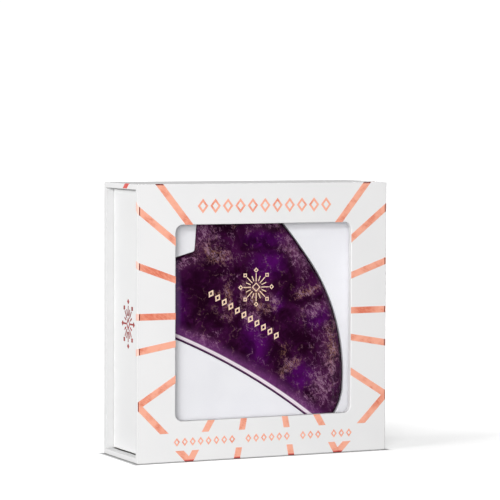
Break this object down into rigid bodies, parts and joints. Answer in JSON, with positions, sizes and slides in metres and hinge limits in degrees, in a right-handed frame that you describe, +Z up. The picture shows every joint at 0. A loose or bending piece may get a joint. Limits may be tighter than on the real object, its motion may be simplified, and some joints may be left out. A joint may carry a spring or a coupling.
{
  "type": "boxed gua sha scraper",
  "caption": "Polished purple stone gua sha scraper in a foam pocket, in a white sliding tray inside a rigid windowed sleeve with coral foil rays.",
  "frame": {"origin": "middle of the sleeve's underside, on the surface that the box stands on", "axes": "+X to the right seen from the window side and along the tray's slide, +Y to the back, +Z up"},
  "size_m": [0.1, 0.0324, 0.1],
  "materials": {
    "printed_paper": "satin",
    "white_paper": "matte",
    "greyboard": "matte",
    "foam": "matte",
    "amethyst": "polished",
    "coral_foil": "satin",
    "pale_gold": "satin"
  },
  "bodies": {
    "sleeve": {"sleeve_front_board": "greyboard", "sleeve_back_board": "greyboard", "sleeve_top_board": "greyboard", "sleeve_bottom_board": "greyboard", "sleeve_wrap": "printed_paper", "sleeve_wrap_flap": "printed_paper"},
    "tray": {"tray_back_board": "greyboard", "tray_left_board": "greyboard", "tray_right_board": "greyboard", "tray_top_board": "greyboard", "tray_bottom_board": "greyboard", "tray_wrap": "white_paper", "insert_base": "foam", "insert_die_cut": "foam"},
    "stone": {"gua_sha_stone": "amethyst"}
  },
  "joints": [
    {"name": "tray_slide", "type": "slide", "parent": "sleeve", "child": "tray", "axis": [1, 0, 0], "range_m": [-0.1, 0.1]},
    {"name": "stone_lift", "type": "slide", "parent": "tray", "child": "stone", "axis": [0, -1, 0], "range_m": [0, 0.005]}
  ]
}
